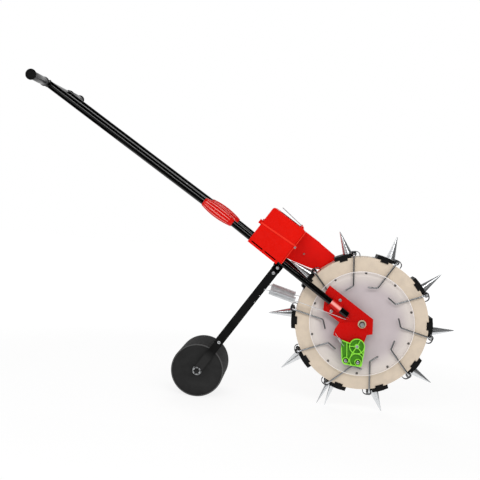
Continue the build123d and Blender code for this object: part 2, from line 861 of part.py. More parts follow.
def hopper_block(way, n0, n1, y0, y1):
    """Slab right through the hopper between two heights of a slope."""
    return block(way, hopper_start - hopper_length, hopper_end + hopper_length, n0, n1, y0, y1)


def hopper_solid():
    """Outside of both shells, with the lips and the latches, and not yet hollow."""
    wide = hopper_half_width
    reach = wide + hopper_lip
    solid = sloped_plate(body_way, hopper_side(0), -wide, wide)
    sides = solid.faces().filter_by(Axis.Y)
    solid = fillet([edge for face in sides for edge in face.edges()], hopper_edge_r)
    inner = wide - hopper_wall
    front, rear = hopper_start, hopper_end
    seam_lip = hopper_block(seam_way, seam_height - lip_height, seam_height + lip_height, -reach, reach)
    solid += seam_lip & block(body_way, front, rear + hopper_lip, -hopper_top, hopper_top, -reach, reach)
    front_lip = block(body_way, front - lip_height, front, -hopper_top, chute_top + chute_cap, -reach, reach)
    window_top = chute_top - hopper_wall
    solid += front_lip - block(body_way, front - lip_height, front, -hopper_top, window_top, -inner, inner)
    for y in (-reach, wide):
        solid += block(body_way, front - seam_ear, front, ear_low, ear_high, y, y + hopper_lip)
    for side in (-1, 1):
        y = side * latch_y - latch_width / 2
        solid += block(body_way, rear, rear + latch_length, latch_low, latch_high, y, y + latch_width)
    return solid


def hopper_hollow():
    inside = hopper_half_width - hopper_wall
    hollow = sloped_plate(body_way, hopper_side(hopper_wall), -inside, inside)
    return hollow - hopper_block(lower_way, -2 * hopper_top, hopper_floor() + hopper_wall, -inside, inside)


def hopper_lower_shell():
    reach = hopper_half_width + hopper_lip
    shell = hopper_solid() - hopper_hollow()
    shell -= hopper_block(seam_way, seam_height, 3 * hopper_top, -reach, reach)
    shell -= hopper_block(lower_way, -2 * hopper_top, -tube_drop - hopper_skirt, -reach, reach)
    skirt = tube_y + lower_tube_r + tube_clear
    shell -= hopper_block(lower_way, -2 * hopper_top, hopper_floor(), -skirt, skirt)
    low = body_height(hopper_start) + 2 * hopper_wall
    shell -= block(body_way, hopper_start - lip_height, hopper_start + 2 * hopper_wall, low, latch_low,
                   outlet_near_y, outlet_far_y)
    front = hopper_start + hopper_wall / 2
    inside = hopper_half_width - hopper_wall / 2
    ramp = [(front, inside), (front, -chute_near_y), (front + hopper_length / 2, inside)]
    floor = Plane(at(lower_way, 0, hopper_floor() + hopper_wall / 2), x_dir=lower_way[0], z_dir=lower_way[1])
    shell += extrude(floor * make_face(Polyline(*ramp, close=True)), amount=ramp_height)
    place = seam_bolt_place()
    return shell - rod(place.X, place.Z, small_bolt_r, -reach, reach)


def hopper_upper_shell():
    reach = hopper_half_width + hopper_lip
    shell = hopper_solid() - hopper_hollow()
    shell -= hopper_block(seam_way, -3 * hopper_top, seam_height, -reach, reach)
    fill = hopper_start + fill_start
    shell -= block(body_way, fill, fill + fill_length, hopper_top - 2 * hopper_wall, hopper_top,
                   -fill_half_width, fill_half_width)
    hinge = lid_hinge()
    s = hopper_start + lid_hinge_start
    for side in (-1, 1):
        y = side * (lid_half_width + knuckle_length / 2 + side_gap)
        low_y, high_y = y - knuckle_length / 2, y + knuckle_length / 2
        shell += rod(hinge.X, hinge.Z, lid_knuckle_r, low_y, high_y)
        shell += block(body_way, s - ear_front, s + lid_knuckle_r, hopper_top - hopper_wall / 2,
                       hopper_top + lid_hinge_lift, low_y, high_y)
        shell -= rod(hinge.X, hinge.Z, lid_pin_r, low_y, high_y)
    return shell


def lid_hinge():
    return at(body_way, hopper_start + lid_hinge_start, hopper_top + lid_hinge_lift)


def lid_hinge_pin():
    hinge = lid_hinge()
    half = lid_half_width + knuckle_length + 2 * side_gap
    return rod(hinge.X, hinge.Z, lid_pin_r, -half, half)


def hopper_lid():
    """Thin flap with its hinge bead rolled round the pin, resting a little open."""
    s = hopper_start + lid_hinge_start
    n = hopper_top + lid_hinge_lift
    hinge = lid_hinge()
    bead = rod(hinge.X, hinge.Z, lid_knuckle_r - side_gap, -lid_half_width, lid_half_width)
    flap = block(body_way, s, s + lid_length, n - lid_wall / 2, n + lid_wall / 2,
                 -lid_half_width, lid_half_width)
    shape = bead + flap - rod(hinge.X, hinge.Z, lid_pin_r + running_gap, -lid_half_width, lid_half_width)
    axis = Pos(hinge.X, 0, hinge.Z)
    return axis * Rot(0, lid_rest_angle, 0) * axis.inverse() * shape


def tube_clip():
    """Strip clipped under a tube, with two slots along its top edge."""
    outer = -(tube_y + lower_tube_r + tube_clear)
    top = -tube_drop - hopper_skirt
    low = -tube_drop - lower_tube_r - clip_clear
    s0 = hopper_start + clip_start
    s1 = hopper_end
    strip = block(lower_way, s0, s1, low - clip_wall, top, outer - clip_wall, outer)
    strip += block(lower_way, s0, s1, low - clip_wall, low, outer, outer + clip_lip)
    slot = (s1 - s0 - 3 * clip_bridge) / 2
    for k in range(2):
        first = s0 + clip_bridge + k * (slot + clip_bridge)
        strip -= block(lower_way, first, first + slot, top - clip_slot, top, outer - clip_wall, outer)
    return strip


def chute_outline():
    """Side outline along and square to the body's slope: it narrows to a spout beside the drum."""
    rear = hopper_start - lip_height
    low = body_height(rear) + hopper_wall
    cap_end = rear - chute_cap_length
    return [
        (rear, low), (rear, chute_top + chute_cap), (cap_end, chute_top + chute_cap),
        (cap_end, chute_top + chute_cap / 2), (drum_r - 17.5, chute_top - chute_fall),
        (drum_r - 27, chute_top - 14.5),
        (drum_r - 81, chute_top - 46), (drum_r - 70, chute_top - 84), (drum_r - 8.4, chute_top - 63),
        (drum_r + 18.3, chute_top - 79), (rear - 20.8, low + 4),
    ]


def mouth_place():
    return drum_r - 59, chute_top - 60


def seed_chute():
    outer = make_face(Polyline(*chute_outline(), close=True))
    inner = offset(outer, amount=-chute_wall, kind=Kind.INTERSECTION)
    near, far = chute_near_y + chute_wall, chute_far_y - chute_wall
    rear = hopper_start - lip_height
    chute = sloped_plate(body_way, outer, chute_near_y, chute_far_y)
    chute -= sloped_plate(body_way, inner, near, far)
    chute -= block(body_way, rear - 2 * chute_wall, rear, body_height(rear) + 4 * chute_wall,
                   chute_top - 2 * chute_wall, near, far)
    s, n = mouth_place()
    half = mouth_size / 2
    bore = half - chute_wall
    front = chute_near_y - mouth_depth
    mouth = block(body_way, s - half, s + half, n - half, n + half, front, near)
    chute += mouth & sloped_plate(body_way, outer, front, near)
    chute -= block(body_way, s - bore, s + bore, n - bore, n + bore, front, near)
    middle = chute_bolt_place()
    return chute - rod(middle.X, middle.Z, small_bolt_r, chute_near_y, near)


def seam_bolt_place():
    return at(body_way, hopper_start - seam_ear / 2, ear_low + (ear_high - ear_low) / 2)


def chute_bolt_place():
    return at(body_way, hopper_start - chute_bolt_back, chute_top / 2)


def hopper_bolts():
    ear, middle = seam_bolt_place(), chute_bolt_place()
    seat = -hopper_half_width - hopper_lip
    one = bolt(ear.X, ear.Z, small_bolt_r, small_bolt_head_r, small_bolt_head, seat, -hopper_half_width)
    front = chute_near_y + chute_wall
    return [
        one, mirrored(one),
        bolt(middle.X, middle.Z, small_bolt_r, small_bolt_head_r, small_bolt_head, chute_near_y, front),
    ]


def roller_centre():
    return Vector(roller_x, 0, soil_z + roller_r)


def arm_direction():
    return (roller_centre() - arm_pivot()).normalized()


def arm_front():
    """Sideways from the arm's middle line to its front edge."""
    way = arm_direction()
    return Vector(-way.Z, 0, way.X)


def spring_hole(k):
    edge = arm_half_width - spring_hole_inset
    return arm_pivot() + arm_direction() * (spring_hole_reach + k * spring_hole_step) + arm_front() * edge


def arm_foot_y():
    """Inner face of the arms beside the roller."""
    return roller_half_width + arm_roller_gap


def spacer_reach():
    """Cross spacer below the pivot."""
    return (roller_centre() - arm_pivot()).length - roller_r - spacer_clear - arm_spacer_r


def press_arm():
    """Flat bar that steps out from the tube to the side of the roller."""
    pin, axle = arm_pivot(), roller_centre()
    way, side = arm_direction(), arm_front() * arm_half_width
    corners = [pin + side, axle + side, axle - side, pin - side]
    y0, y1 = -(arm_foot_y() + arm_wall), -arm_y
    flat = plate([(c.X, c.Z) for c in corners], y0, y1)
    flat += rod(pin.X, pin.Z, arm_half_width, y0, y1)
    flat += rod(axle.X, axle.Z, arm_half_width, y0, y1)
    end = (axle - pin).length + arm_half_width
    step = [(-arm_half_width, -arm_y), (arm_bend_reach, -arm_y),
            (arm_bend_reach + arm_bend_length, -arm_foot_y()), (end, -arm_foot_y())]
    edge = step + [(reach, y - arm_wall) for reach, y in reversed(step)]
    upright = Plane(pin, x_dir=way, z_dir=way.cross(Vector(0, 1, 0)))
    arm = flat & extrude(upright * make_face(Polyline(*edge, close=True)), amount=arm_half_width, both=True)
    arm -= rod(pin.X, pin.Z, bolt_r + running_gap, y0, y1)
    arm -= rod(axle.X, axle.Z, press_axle_r, y0, y1)
    for reach in (arm_bolt_step, spacer_reach()):
        hole = pin + way * reach
        arm -= rod(hole.X, hole.Z, bolt_r, y0, y1)
    holes = [spring_hole(k) for k in range(spring_hole_count)]
    return arm - [rod(h.X, h.Z, spring_hole_r, y0, y1) for h in holes]


def arm_pivot_bolts():
    pin = arm_pivot()
    seat = -(arm_y + arm_wall + side_gap + lug_wall)
    inner = -(arm_y - side_gap)
    one = bolt(pin.X, pin.Z, bolt_r, bolt_head_r, bolt_head, seat, inner)
    one += rod(pin.X, pin.Z, bolt_head_r, inner, inner + bolt_head)
    return [one, mirrored(one)]


def arm_bolts():
    pin, way = arm_pivot(), arm_direction()
    bolts = []
    for reach, inner in ((arm_bolt_step, arm_y), (spacer_reach(), arm_foot_y())):
        place = pin + way * reach
        one = bolt(place.X, place.Z, bolt_r, bolt_head_r, bolt_head, -inner - arm_wall, -inner)
        bolts += [one, mirrored(one)]
    return bolts


def arm_spacer():
    place = arm_pivot() + arm_direction() * spacer_reach()
    return sleeve(place.X, place.Z, arm_spacer_r, bolt_r, -arm_foot_y(), arm_foot_y())


def press_axle():
    """Roller axle with a nut on each end."""
    c = roller_centre()
    seat = arm_foot_y() + arm_wall
    axle = rod(c.X, c.Z, press_axle_r, -seat - 1.4 * press_nut, seat + 1.4 * press_nut)
    near = hex_nut(c.X, c.Z, press_nut_r, press_axle_r / 2, -seat - press_nut, -seat)
    far = hex_nut(c.X, c.Z, press_nut_r, press_axle_r / 2, seat, seat + press_nut)
    collar_in = roller_half_width + side_gap
    collars = [sleeve(c.X, c.Z, roller_hub_r, press_axle_r / 2, -arm_foot_y(), -collar_in)]
    collars.append(sleeve(c.X, c.Z, roller_hub_r, press_axle_r / 2, collar_in, arm_foot_y()))
    return axle + near + far + collars


def press_roller():
    c = roller_centre()
    half = roller_half_width
    face = half - roller_face_inset
    bore = press_axle_r + running_gap
    inner = face - roller_wall
    rim = roller_r - roller_wall
    roller = rod(c.X, c.Z, roller_r, -half, half)
    roller = fillet(roller.edges().filter_by(GeomType.CIRCLE), roller_face_inset)
    for side in (-1, 1):
        low, high = sorted((side * face, side * (half + 1)))
        roller -= sleeve(c.X, c.Z, rim, roller_hub_r, low, high)
    roller -= sleeve(c.X, c.Z, rim, roller_hub_r, -inner, inner)
    return roller - rod(c.X, c.Z, bore, -half, half)


def draw_spring():
    """Draw spring: hook in the arm's first hole, close coil, long rod, hook round the peg."""
    plane_shift = Vector(0, -draw_y, 0)
    hole = spring_hole(0) + plane_shift
    wrap = peg_r + draw_wire_r + side_gap
    peg = Vector(peg_x, -draw_y, peg_z)
    under = peg + Vector(0, 0, -wrap)
    way = (under - hole).normalized()
    square = Vector(-way.Z, 0, way.X)
    under = peg - square * wrap if square.Z > 0 else peg + square * wrap
    way = (under - hole).normalized()
    bend = 3 * draw_wire_r
    inside = Vector(hole.X, -arm_y, hole.Z)
    bend_start = hole + Vector(0, bend, 0)
    bend_end = hole + way * bend
    edges = [Line(inside, bend_start), TangentArc(bend_start, bend_end, tangent=(0, -1, 0))]
    lead = draw_lead - draw_mean_r
    out = Vector(0, -1, 0)
    centre = hole + way * draw_lead
    stations = coil_stations(centre, way, out, draw_mean_r, draw_pitch, draw_turns, 2)
    first, first_way = stations[0]
    last, last_way = stations[-1]
    lead_end = hole + way * lead
    edges.append(Line(bend_end, lead_end))
    edges += biarc(lead_end, way, first, first_way) + joined(stations)
    rod_start = centre + way * (draw_pitch * draw_turns + draw_mean_r)
    edges += biarc(last, last_way, rod_start, way)
    edges.append(Line(rod_start, under))
    over = peg * 2 - under
    edges.append(TangentArc(under, over, tangent=way))
    edges.append(Line(over, over - way * 4 * draw_wire_r))
    return wire_tube(edges, draw_wire_r, "draw_spring")


def spring_pegs():
    near = rod(peg_x, peg_z, peg_r, -bracket_face - peg_length, -bracket_y)
    near += rod(peg_x, peg_z, peg_r * 1.7, -bracket_face - peg_length - 1, -bracket_face - peg_length + 0.5)
    return [near, mirrored(near)]


def trip_faces():
    """y of the plate's back and front, and of the ribs' front."""
    back = -(sector_face + trip_gap)
    return back, back - trip_wall, back - trip_wall - trip_rib


def trip_plate():
    """Green moulding: a web with a rim, ribs and bosses, and a cam block behind its foot."""
    back, front, ribs = trip_faces()
    lobe = Pos(*trip_pivot) * Circle(trip_lobe_r)
    outline = make_face(Polyline(*trip_outline, close=True))
    outline = fillet(outline.vertices().filter_by(lambda v: v.Y < trip_arch[1]), trip_corner_r) + lobe
    pocket = offset(outline, amount=-trip_rib_wall)
    raised = outline - pocket
    for centre, r in [(trip_pivot, trip_lobe_r), (trip_arch, trip_arch_r)]:
        raised += Pos(*centre) * (Circle(r) - Circle(r - trip_rib_wall))
    for ends in [(trip_pivot, end) for end in trip_ribs] + [trip_side_rib]:
        raised += make_face(offset(Line(*ends), amount=trip_rib_wall / 2, side=Side.BOTH))
    for centre in trip_bolt_places:
        raised += Pos(*centre) * Circle(trip_boss_r)
    raised += Pos(*trip_pivot) * Circle(bolt_head_r + trip_rib_wall)
    raised -= Pos(*trip_spring_low) * Circle(trip_washer_r)
    spring_way = offset(Line(trip_spring_low, trip_spring_top), amount=trip_spring_room, side=Side.BOTH)
    raised -= make_face(spring_way)
    moulding = extrude(side_plane.offset(-ribs) * (raised & outline), amount=ribs - front)
    moulding += extrude(side_plane.offset(-front) * outline, amount=front - back)
    cam = [p for p in trip_outline if p[1] < trip_back_top]
    cam = [(cam[0][0], trip_back_top)] + cam + [(cam[-1][0], trip_back_top)]
    moulding += plate(cam, back, back + trip_back)
    for x, z in [trip_pivot] + trip_bolt_places:
        clearance = running_gap if (x, z) == trip_pivot else 0
        moulding -= rod(x, z, trip_bolt_r + clearance, ribs, back + trip_back)
    return moulding - rod(*trip_spring_low, trip_spring_wire_r + side_gap, ribs, back)


def trip_pivot_bolt():
    _, _, ribs = trip_faces()
    return bolt(*trip_pivot, trip_bolt_r, bolt_head_r, bolt_head, ribs - side_gap, -bracket_face)


def trip_bolts():
    back, _, ribs = trip_faces()
    end = back + trip_back
    bolts = []
    for x, z in trip_bolt_places:
        one = bolt(x, z, trip_bolt_r, bolt_head_r, bolt_head, ribs - washer_wall / 2, end)
        bolts.append(one + sleeve(x, z, trip_washer_r, trip_bolt_r / 2, ribs - washer_wall / 2, ribs))
    return bolts


def trip_spring():
    """Small draw spring from the sector plate to the trip plate, with both ends turned in."""
    back, front, _ = trip_faces()
    y = front - trip_spring_mean_r - trip_spring_wire_r - side_gap
    top = Vector(trip_spring_top[0], y, trip_spring_top[1])
    low = Vector(trip_spring_low[0], y, trip_spring_low[1])
    way = (low - top).normalized()
    bend = 3 * trip_spring_wire_r
    coil = trip_spring_pitch * trip_spring_turns
    margin = ((low - top).length - coil) / 2
    centre = top + way * margin
    out = Vector(0, -1, 0)
    stations = coil_stations(centre, way, out, trip_spring_mean_r, trip_spring_pitch, trip_spring_turns, 2)
    lead_end = top + way * (margin - trip_spring_mean_r)
    tail_start = centre + way * (coil + trip_spring_mean_r)
    bend_top = top + Vector(0, bend, 0)
    edges = [Line(Vector(top.X, -bracket_face, top.Z), bend_top)]
    edges.append(TangentArc(bend_top, top + way * bend, tangent=(0, -1, 0)))
    edges.append(Line(top + way * bend, lead_end))
    edges += biarc(lead_end, way, *stations[0]) + joined(stations)
    edges += biarc(*stations[-1], tail_start, way)
    edges.append(Line(tail_start, low - way * bend))
    edges.append(TangentArc(low - way * bend, low + Vector(0, bend, 0), tangent=way))
    edges.append(Line(low + Vector(0, bend, 0), Vector(low.X, back, low.Z)))
    return wire_tube(edges, trip_spring_wire_r, "trip_spring")


def build():
    """Every node of the planter about the axle, by name."""
    side_bracket, saddle = bracket(), tube_saddle()
    low_tube, high_tube = lower_tube(), upper_tube()
    hand_grip, barrel, clip = grip(), lock(), tube_clip()
    arm, pull = press_arm(), draw_spring()
    nodes = {
        "bracket_near": side_bracket, "bracket_far": mirrored(side_bracket), "sector_plate": sector_plate(),
        "tube_saddle_near": saddle, "tube_saddle_far": mirrored(saddle), "saddle_bolts": saddle_bolts(),
        "lower_tube_near": low_tube, "lower_tube_far": mirrored(low_tube),
        "axle_rod": axle_rod(), "axle_nuts": axle_nuts(), "axle_washers": axle_washers(),
        "axle_spacers": axle_spacers(),
        "hopper_lower_shell": hopper_lower_shell(), "hopper_upper_shell": hopper_upper_shell(),
        "seed_chute": seed_chute(), "hopper_bolts": hopper_bolts(),
        "tube_clip_near": clip, "tube_clip_far": mirrored(clip),
        "lid_hinge_pin": lid_hinge_pin(), "hopper_lid": hopper_lid(),
        "press_spring_near": pull, "press_spring_far": mirrored(pull), "spring_pegs": spring_pegs(),
        "trip_plate": trip_plate(), "trip_pivot_bolt": trip_pivot_bolt(), "trip_bolts": trip_bolts(),
        "trip_spring": trip_spring(),
        "upper_tube_near": high_tube, "upper_tube_far": mirrored(high_tube), "crossbar": crossbar(),
        "grip_near": hand_grip, "grip_far": mirrored(hand_grip),
        "lock_near": barrel, "lock_far": mirrored(barrel),
        "drum_rim": drum_rim(), "drum_face": drum_face(), "hub_bushes": hub_bushes(),
        "face_screws": face_screws(), "beak_seats": around(beak_seat()), "seat_plates": around(seat_plate()),
        "fixed_jaws": around(fixed_jaw()), "beak_springs": around(beak_spring()),
        "seed_cups": around(seed_cup()),
        "press_arm_near": arm, "press_arm_far": mirrored(arm),
        "arm_pivot_bolts": arm_pivot_bolts(), "arm_bolts": arm_bolts(), "arm_spacer": arm_spacer(),
        "press_axle": press_axle(), "press_roller": press_roller(),
    }
    for k in range(beak_count):
        nodes[f"beak_{k + 1:02d}"] = beak(k + 1)
    return nodes


def set_down(nodes):
    """Move the whole so that its origin is under the middle of its box, on the soil."""
    shapes = {}
    for name, shape in nodes.items():
        pieces = shape if isinstance(shape, list) else [shape]
        shapes[name] = Compound(children=[solid for piece in pieces for solid in piece.solids()])
    box = Compound(children=[Compound(shape.wrapped) for shape in shapes.values()]).bounding_box()
    middle = box.center()
    shift = Pos(-middle.X, -middle.Y, -box.min.Z)
    print(f"axle at {-middle.X:.3f}, {-middle.Y:.3f}, {-box.min.Z:.3f}")
    return {name: shift * shape for name, shape in shapes.items()}


if __name__ == "__main__":
    os.makedirs("parts", exist_ok=True)
    for name, shape in set_down(build()).items():
        export_step(shape, f"parts/{name}.step")
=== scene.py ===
import bmesh
import bpy
from collections import namedtuple
from math import atan2, cos, degrees, pi, radians, sin, sqrt
from mathutils import Matrix, Vector


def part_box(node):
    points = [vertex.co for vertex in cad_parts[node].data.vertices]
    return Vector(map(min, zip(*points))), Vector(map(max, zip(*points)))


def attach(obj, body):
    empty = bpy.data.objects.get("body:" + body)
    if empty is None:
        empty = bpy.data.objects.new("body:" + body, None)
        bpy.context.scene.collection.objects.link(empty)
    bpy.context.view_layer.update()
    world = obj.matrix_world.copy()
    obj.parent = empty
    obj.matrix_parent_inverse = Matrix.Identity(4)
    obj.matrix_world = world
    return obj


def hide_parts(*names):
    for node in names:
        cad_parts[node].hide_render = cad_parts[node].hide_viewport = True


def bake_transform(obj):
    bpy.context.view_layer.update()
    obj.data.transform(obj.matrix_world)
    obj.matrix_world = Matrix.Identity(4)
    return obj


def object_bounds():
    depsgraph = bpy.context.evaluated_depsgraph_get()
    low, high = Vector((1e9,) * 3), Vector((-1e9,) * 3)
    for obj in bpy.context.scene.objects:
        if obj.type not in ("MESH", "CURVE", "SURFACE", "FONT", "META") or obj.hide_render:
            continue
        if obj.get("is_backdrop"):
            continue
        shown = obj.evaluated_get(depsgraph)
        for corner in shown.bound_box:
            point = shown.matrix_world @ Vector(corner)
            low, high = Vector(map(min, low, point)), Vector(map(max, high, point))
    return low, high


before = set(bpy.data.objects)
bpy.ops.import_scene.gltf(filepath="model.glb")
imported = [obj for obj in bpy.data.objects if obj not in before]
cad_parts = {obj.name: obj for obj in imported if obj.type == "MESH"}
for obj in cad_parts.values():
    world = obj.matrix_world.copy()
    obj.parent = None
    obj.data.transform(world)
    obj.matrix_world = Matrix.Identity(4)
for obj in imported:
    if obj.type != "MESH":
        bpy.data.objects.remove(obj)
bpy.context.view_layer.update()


# helpers
def middle(node):
    """Middle of a node's box."""
    low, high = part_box(node)
    return (low + high) / 2


def colour(code):
    """A written sRGB colour, as the linear colour that a socket takes."""
    parts = [int(code[i:i + 2], 16) / 255 for i in (1, 3, 5)]
    return [p / 12.92 if p <= 0.04045 else ((p + 0.055) / 1.055) ** 2.4 for p in parts] + [1.0]


def per(mm):
    """Texture scale at which a pattern repeats about every mm millimetres."""
    return 1000.0 / mm


def add(tree, kind, inputs=None, **settings):
    """Add a node with its settings; an input is linked if it is a socket and set if it is a value."""
    node = tree.nodes.new(kind)
    for key, value in settings.items():
        setattr(node, key, value)
    for key, value in (inputs or {}).items():
        if isinstance(value, bpy.types.NodeSocket):
            tree.links.new(value, node.inputs[key])
        else:
            node.inputs[key].default_value = value
    return node


def material(name, **constants):
    """A material, with its tree, its shader and its object coordinates."""
    made = bpy.data.materials.new(name)
    made.use_nodes = True
    tree = made.node_tree
    shader = tree.nodes["Principled BSDF"]
    for key, value in constants.items():
        shader.inputs[key.replace("_", " ")].default_value = value
    return made, tree, shader, add(tree, "ShaderNodeTexCoord").outputs["Object"]


def patch(tree, where, mm, low, high, detail):
    """Noise of a real size in millimetres, spread from one value to another."""
    noise = add(tree, "ShaderNodeTexNoise",
                {"Vector": where, "Scale": per(mm), "Detail": detail, "Roughness": 0.55})
    spread = add(tree, "ShaderNodeMapRange",
                 {"Value": noise.outputs["Fac"], "From Min": 0.3, "From Max": 0.7,
                  "To Min": low, "To Max": high})
    return spread.outputs["Result"]


Finish = namedtuple("Finish", "look tree shader where tint")


def dressed(name, main, other, mottle, rough, gloss, relief, depth, detail=4.0, **constants):
    """A finish whose colour, gloss and relief each vary over a length; all lengths are in millimetres."""
    look, tree, shader, where = material(name, **constants)
    share = patch(tree, where, mottle, 0.0, 1.0, detail)
    # Sockets 0, 6 and 7 of a Mix node of colours are its share and its two colours, and output 2 is the mix.
    mixed = add(tree, "ShaderNodeMix", {0: share, 6: colour(main), 7: colour(other)}, data_type="RGBA")
    tint = mixed.outputs[2]
    tree.links.new(tint, shader.inputs["Base Color"])
    if rough:
        dullness = patch(tree, where, gloss, rough[0], rough[1], 3.0)
        tree.links.new(dullness, shader.inputs["Roughness"])
    height = patch(tree, where, relief, 0.0, 1.0, 2.0)
    raised = add(tree, "ShaderNodeBump", {"Height": height, "Distance": depth / 1000, "Strength": 1.0})
    tree.links.new(raised.outputs["Normal"], shader.inputs["Normal"])
    return Finish(look, tree, shader, where, tint)


def overlaid(finish, share, code):
    """The finish with another colour over it, by a share from 0 to 1: wear, soil, or painted light or shade.
    """
    mixed = add(finish.tree, "ShaderNodeMix", {0: share, 6: finish.tint, 7: colour(code)}, data_type="RGBA")
    tint = mixed.outputs[2]
    finish.tree.links.new(tint, finish.shader.inputs["Base Color"])
    return finish._replace(tint=tint)


def across(finish, start, end, from_middle=False):
    """Share from 0 to 1 between two places on the Y axis, or two distances from its middle, in metres."""
    where = finish.where
    if from_middle:
        where = add(finish.tree, "ShaderNodeVectorMath", {0: where}, operation="ABSOLUTE").outputs["Vector"]
    place = add(finish.tree, "ShaderNodeSeparateXYZ", {"Vector": where}).outputs["Y"]
    share = add(finish.tree, "ShaderNodeMapRange", {"Value": place, "From Min": start, "From Max": end})
    return share.outputs["Result"]


def from_axle(finish, centre):
    """Distance from an axle that lies across the machine, in metres."""
    tree = finish.tree
    spoke = add(tree, "ShaderNodeVectorMath", {0: finish.where, 1: centre}, operation="SUBTRACT")
    spoke = add(tree, "ShaderNodeVectorMath", {0: spoke.outputs[0], 1: (1, 0, 1)}, operation="MULTIPLY")
    length = add(tree, "ShaderNodeVectorMath", {0: spoke.outputs[0]}, operation="LENGTH")
    return length.outputs["Value"]


# places
axle = middle("axle_rod")
axle.y = 0
low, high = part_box("drum_rim")
drum_r = (high.x - low.x) / 2

# All four tubes lie this far from the middle of the machine.
tube_y = 0.094

# Lower tubes: they lean, and their middle lines pass just below the axle.
low_lean = radians(33.7)
low_down = Vector((cos(low_lean), 0, -sin(low_lean)))
low_square = Vector((sin(low_lean), 0, cos(low_lean)))
low_drop = 0.00585

# Upper tubes: they lean back, and end at the crossbar.
bar = middle("crossbar")
bar.y = 0
lean = radians(32.0)
up = Vector((-cos(lean), 0, sin(lean)))

# materials
# Glossy red polypropylene of the hopper: crisp highlights, and a painted highlight in paler red along its
# proud lips.
hopper_red = dressed("red_polypropylene", "#DC1003", "#D40D02", mottle=70, rough=(0.22, 0.32), gloss=14,
                     relief=6, depth=0.03, Specular_IOR_Level=0.12)
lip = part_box("hopper_upper_shell")[0].y
overlaid(hopper_red, across(hopper_red, lip + 0.0024, lip + 0.0010), "#EA3020")
# The twist locks are the same plastic, polished by hands on their flutes.
lock_red = dressed("polished_red_polypropylene", "#D00E05", "#C60B04", mottle=40, rough=(0.14, 0.24),
                   gloss=10, relief=30, depth=0.02, Specular_IOR_Level=0.3)
# Their crests carry a painted highlight: thin pale lines where the flutes would catch the light.
painted_crest_highlight = dressed("red_polypropylene_painted_highlight", "#FFB8B0", "#F49C94", mottle=14, rough=(0.16, 0.26), gloss=8,
                     relief=20, depth=0.02, Specular_IOR_Level=0.4)
# The chute is the same plastic, less glossy; its red is written strong, because it lies in shade.
chute_red = dressed("deep_red_polypropylene", "#F01006", "#E60E05", mottle=60, rough=(0.30, 0.40), gloss=16,
                    relief=6, depth=0.03, Specular_IOR_Level=0.12)
# Red stove enamel on pressed steel: orange peel and slightly thinner patches.
enamel = dressed("red_enamel", "#C60803", "#BC0702", mottle=45, rough=(0.24, 0.34), gloss=9,
                 relief=6, depth=0.02, Specular_IOR_Level=0.12)
# The saddles' enamel is the same, with a painted highlight: a pale band along the crowns of their round
# backs.
saddle_enamel = dressed("red_enamel_painted_highlight", "#C60803", "#BC0702", mottle=45, rough=(0.24, 0.34), gloss=9,
                        relief=6, depth=0.02, Specular_IOR_Level=0.12)
tree = saddle_enamel.tree
crown = axle.dot(low_square) - low_drop + 0.002
beside = add(tree, "ShaderNodeVectorMath", {0: saddle_enamel.where, 1: low_square}, operation="DOT_PRODUCT")
beside = add(tree, "ShaderNodeMath", {0: beside.outputs["Value"], 1: crown}, operation="SUBTRACT")
beside = add(tree, "ShaderNodeMath", {0: beside.outputs[0]}, operation="ABSOLUTE")
painted_highlight_band = add(tree, "ShaderNodeMapRange", {"Value": beside.outputs[0], "From Min": 0.0065, "From Max": 0.002})
overlaid(saddle_enamel, painted_highlight_band.outputs["Result"], "#F4A49C")
# Black gloss paint on tube: near black with a thin bright line along it.
tube_black = dressed("black_gloss_paint", "#030303", "#070707", mottle=45, rough=(0.06, 0.16), gloss=9,
                     relief=12, depth=0.012, Specular_IOR_Level=0.36)
# The flat press arms wear a duller coat of the same black, greyed by soil beside the roller.
arm_black = dressed("black_powder_coat", "#0C0C0C", "#141414", mottle=22, rough=(0.46, 0.56), gloss=6,
                    relief=1.6, depth=0.03, Specular_IOR_Level=0.1)
reach = from_axle(arm_black, middle("press_axle"))
soiled = add(arm_black.tree, "ShaderNodeMapRange", {"Value": reach, "From Min": 0.074, "From Max": 0.050})
overlaid(arm_black, soiled.outputs["Result"], "#2A2A2A")
# Cream polyamide rim, softly mottled where the moulding has yellowed.
cream = dressed("cream_polyamide", "#D6C6B2", "#CABBA9", mottle=24, rough=(0.42, 0.52), gloss=12,
                relief=5, depth=0.04, Specular_IOR_Level=0.3)
# Pale mauve-white disc, satin; painted paler and warmer towards its edge, leaving painted shade in its dished
# middle.
pale = dressed("pale_polyamide", "#C4B9BB", "#BBB0B2", mottle=60, rough=(0.38, 0.48), gloss=16,
               relief=7, depth=0.03, Specular_IOR_Level=0.3)
painted_light_towards_edge = add(pale.tree, "ShaderNodeMapRange",
            {"Value": from_axle(pale, axle), "From Min": 0.100, "From Max": 0.148},
            interpolation_type="SMOOTHSTEP")
overlaid(pale, painted_light_towards_edge.outputs["Result"], "#D5CCC6")
# The bead is the same polyamide, painted bright as a highlight.
bead_pale = dressed("pale_polyamide_painted_highlight", "#F0EAE8", "#E6E0DE", mottle=20, rough=(0.36, 0.46), gloss=10,
                    relief=5, depth=0.02, Specular_IOR_Level=0.3)
# The press roller's moulding: a black tread, greyer faces, and a painted highlight along the edges of its
# faces.
roller_black = dressed("black_polyamide_painted_rim_highlight", "#262626", "#2E2E2E", mottle=26, rough=(0.56, 0.66),
                       gloss=8, relief=3, depth=0.04, Specular_IOR_Level=0.04)
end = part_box("press_roller")[1].y
tread = across(roller_black, end - 0.0033, end - 0.0040, from_middle=True)
rim = across(roller_black, end - 0.0026, end - 0.0012, from_middle=True)
roller_black = overlaid(roller_black, tread, "#0A0A0A")
overlaid(roller_black, rim, "#4E4E4E")
# Matt black moulded seats.
seat_black = dressed("black_polyamide", "#141414", "#1A1A1A", mottle=30, rough=(0.46, 0.56), gloss=8,
                     relief=3, depth=0.04, Specular_IOR_Level=0.06)
# Polished zinc plate on folded sheet: long bright and dark sides.
zinc = dressed("zinc_plated_steel", "#E2E4E6", "#D6D8DA", mottle=16, rough=None, gloss=None,
               relief=30, depth=0.005)
